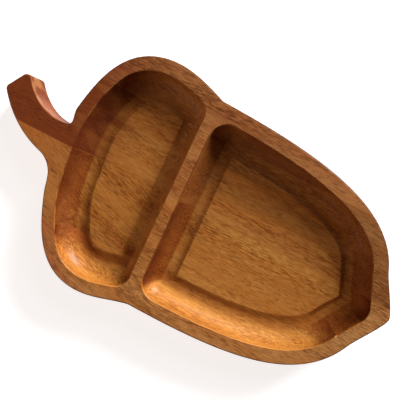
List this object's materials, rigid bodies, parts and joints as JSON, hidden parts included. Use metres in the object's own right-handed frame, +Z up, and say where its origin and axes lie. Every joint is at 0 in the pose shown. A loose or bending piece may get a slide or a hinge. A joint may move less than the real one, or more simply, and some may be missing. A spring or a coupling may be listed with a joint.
{
  "type": "appetizer dish",
  "caption": "Acorn-shaped wooden serving dish glued up from staves, with a small pocket in the cap, a large pocket in the nut and a curved stem.",
  "frame": {"origin": "on the underside, half way between the notches where the cap meets the nut", "axes": "+X along the grain from the stem to the tip, +Y across the staves towards the side that the stem curls to, +Z up out of the pockets"},
  "size_m": [0.3034, 0.1692, 0.02],
  "materials": {
    "beech_upper_edge": "oiled, satin",
    "beech_upper_middle": "oiled, satin, the reddest stave",
    "beech_lower_middle": "oiled, satin, the lightest stave",
    "beech_lower_edge": "oiled, satin",
    "wood_glue": "cured glue, flush with the oiled wood"
  },
  "bodies": {
    "root": {"upper_edge_stave": "beech_upper_edge", "upper_middle_stave": "beech_upper_middle", "lower_middle_stave": "beech_lower_middle", "lower_edge_stave": "beech_lower_edge", "upper_glue_line": "wood_glue", "middle_glue_line": "wood_glue", "lower_glue_line": "wood_glue"}
  },
  "joints": []
}
